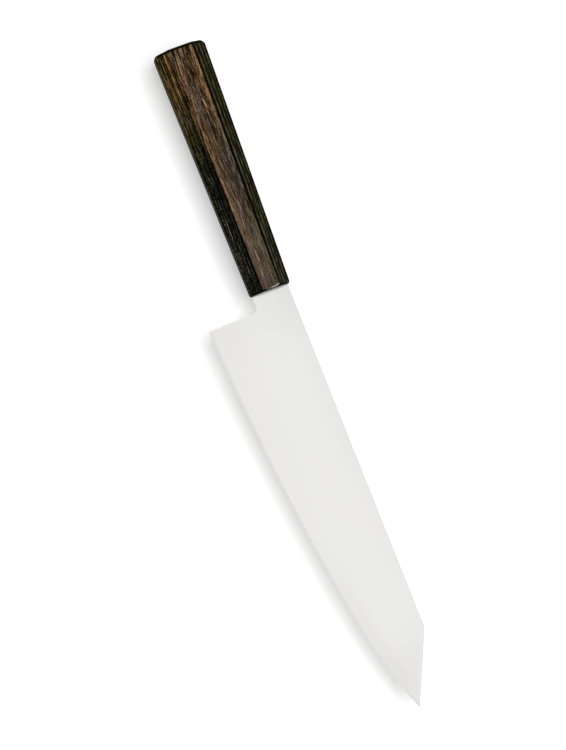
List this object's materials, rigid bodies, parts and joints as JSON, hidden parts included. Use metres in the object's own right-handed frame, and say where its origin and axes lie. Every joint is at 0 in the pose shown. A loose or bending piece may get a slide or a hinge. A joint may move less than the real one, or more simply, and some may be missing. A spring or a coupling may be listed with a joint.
{
  "type": "kiritsuke kitchen knife",
  "caption": "Kiritsuke kitchen knife: flat-ground blade with a clipped point, hidden tang bonded into a tapered eight-sided handle of laminated wood.",
  "frame": {"origin": "middle of the bounding box, at its lowest level; the knife lies on its side", "axes": "+X along the handle towards the tip, +Y from the cutting edge towards the spine, +Z out of the side that faces up"},
  "size_m": [0.3432, 0.0484, 0.022],
  "materials": {
    "blade_steel": "fine satin, ground flat, with a polished cutting bevel",
    "laminated_wood": "dark laminated wood, sanded and sealed to a low sheen",
    "cured_adhesive": "cured epoxy, dark"
  },
  "bodies": {
    "root": {"blade": "blade_steel", "handle": "laminated_wood", "tang_adhesive": "cured_adhesive"}
  },
  "joints": []
}
